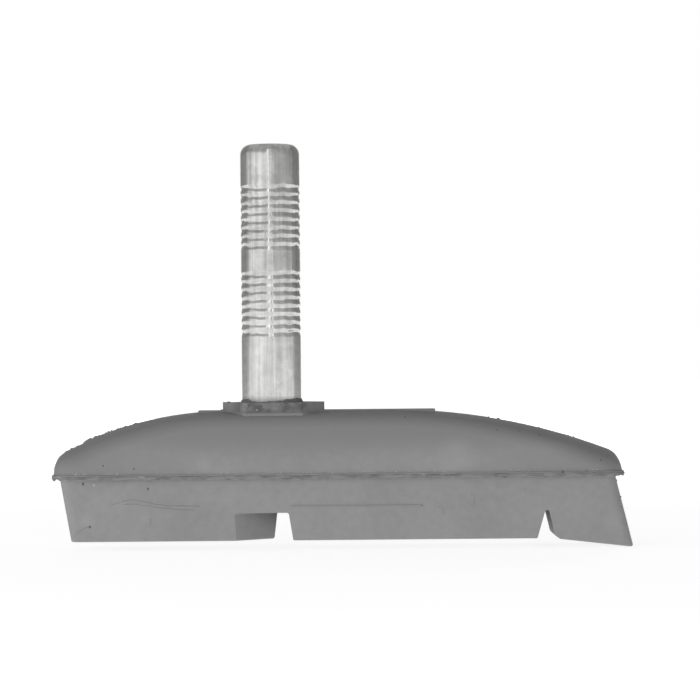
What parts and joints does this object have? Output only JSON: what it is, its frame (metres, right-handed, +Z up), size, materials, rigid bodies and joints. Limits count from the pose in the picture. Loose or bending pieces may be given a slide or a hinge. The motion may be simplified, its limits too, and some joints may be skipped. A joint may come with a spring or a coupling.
{
  "type": "bicycle rim brake pad",
  "caption": "Moulded rubber rim brake pad with a domed back, plow slot, V notch and low heel, on a plain metal post with rolled rings for a cantilever brake's clamp.",
  "frame": {"origin": "on the post's axis, where the post leaves the rubber collar", "axes": "+X along the pad towards the heel end, +Y across the pad, +Z up the post; the braking face looks down"},
  "size_m": [0.0678, 0.0134, 0.0474],
  "materials": {
    "moulded_rubber": "grey moulded brake rubber, satin from the mould, with parting flash and a few pits",
    "post_steel": "bright zinc-plated bar with faint lengthwise drawing marks and rolled rings",
    "plate_steel": "plain blanked steel sheet, inside the rubber"
  },
  "bodies": {
    "root": {"rubber_pad": "moulded_rubber", "post": "post_steel", "backing_plate": "plate_steel"}
  },
  "joints": []
}
